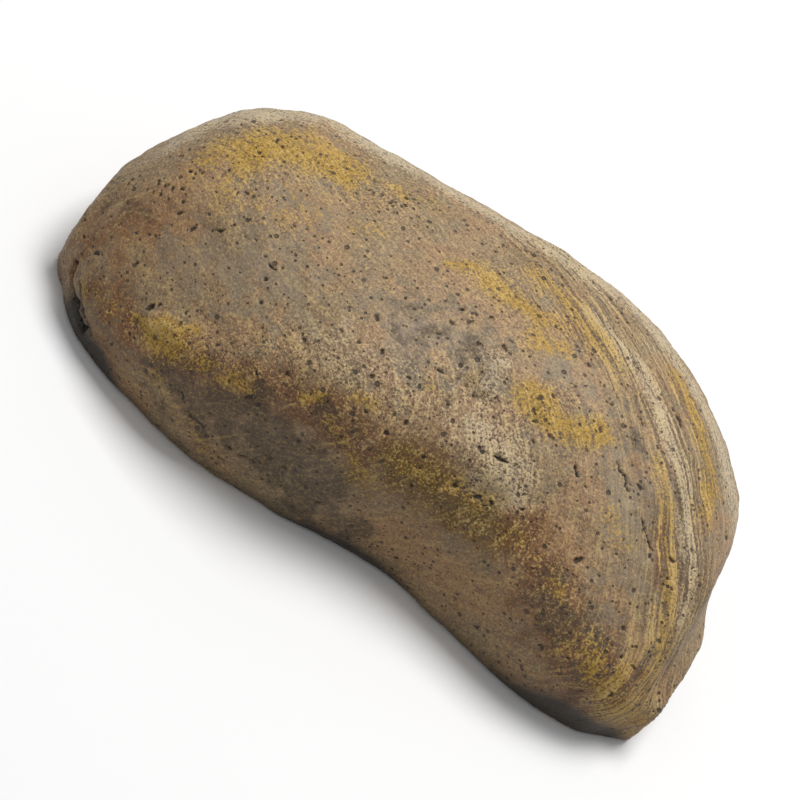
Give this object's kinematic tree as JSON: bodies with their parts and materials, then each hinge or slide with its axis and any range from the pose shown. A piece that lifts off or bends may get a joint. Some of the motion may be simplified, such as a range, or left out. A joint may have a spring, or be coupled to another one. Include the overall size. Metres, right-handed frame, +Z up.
{
  "type": "key hiding rock",
  "caption": "Hollow imitation stone with a flat underside and a lidded compartment in it that hides spare keys.",
  "frame": {"origin": "middle of the footprint, on the surface that the rim stands on", "axes": "+X along the stone's length towards its skewed end, -Y towards its hollowed front flank, +Z up"},
  "size_m": [0.1489, 0.0831, 0.0476],
  "materials": {
    "painted_stone_resin": "cast polyresin, pitted, painted taupe brown with ochre washes, satin",
    "poured_grey_resin": "smooth poured resin, matt grey with cream overspray",
    "box_plastic": "moulded dark brown-black plastic, fine matt texture"
  },
  "bodies": {
    "rock": {"stone_shell": "painted_stone_resin", "base_fill": "poured_grey_resin", "key_box": "box_plastic"},
    "lid": {"box_lid": "box_plastic"}
  },
  "joints": [
    {"name": "lid_pull", "type": "slide", "parent": "rock", "child": "lid", "axis": [0, 0, -1], "range_m": [0, 0.04]}
  ]
}
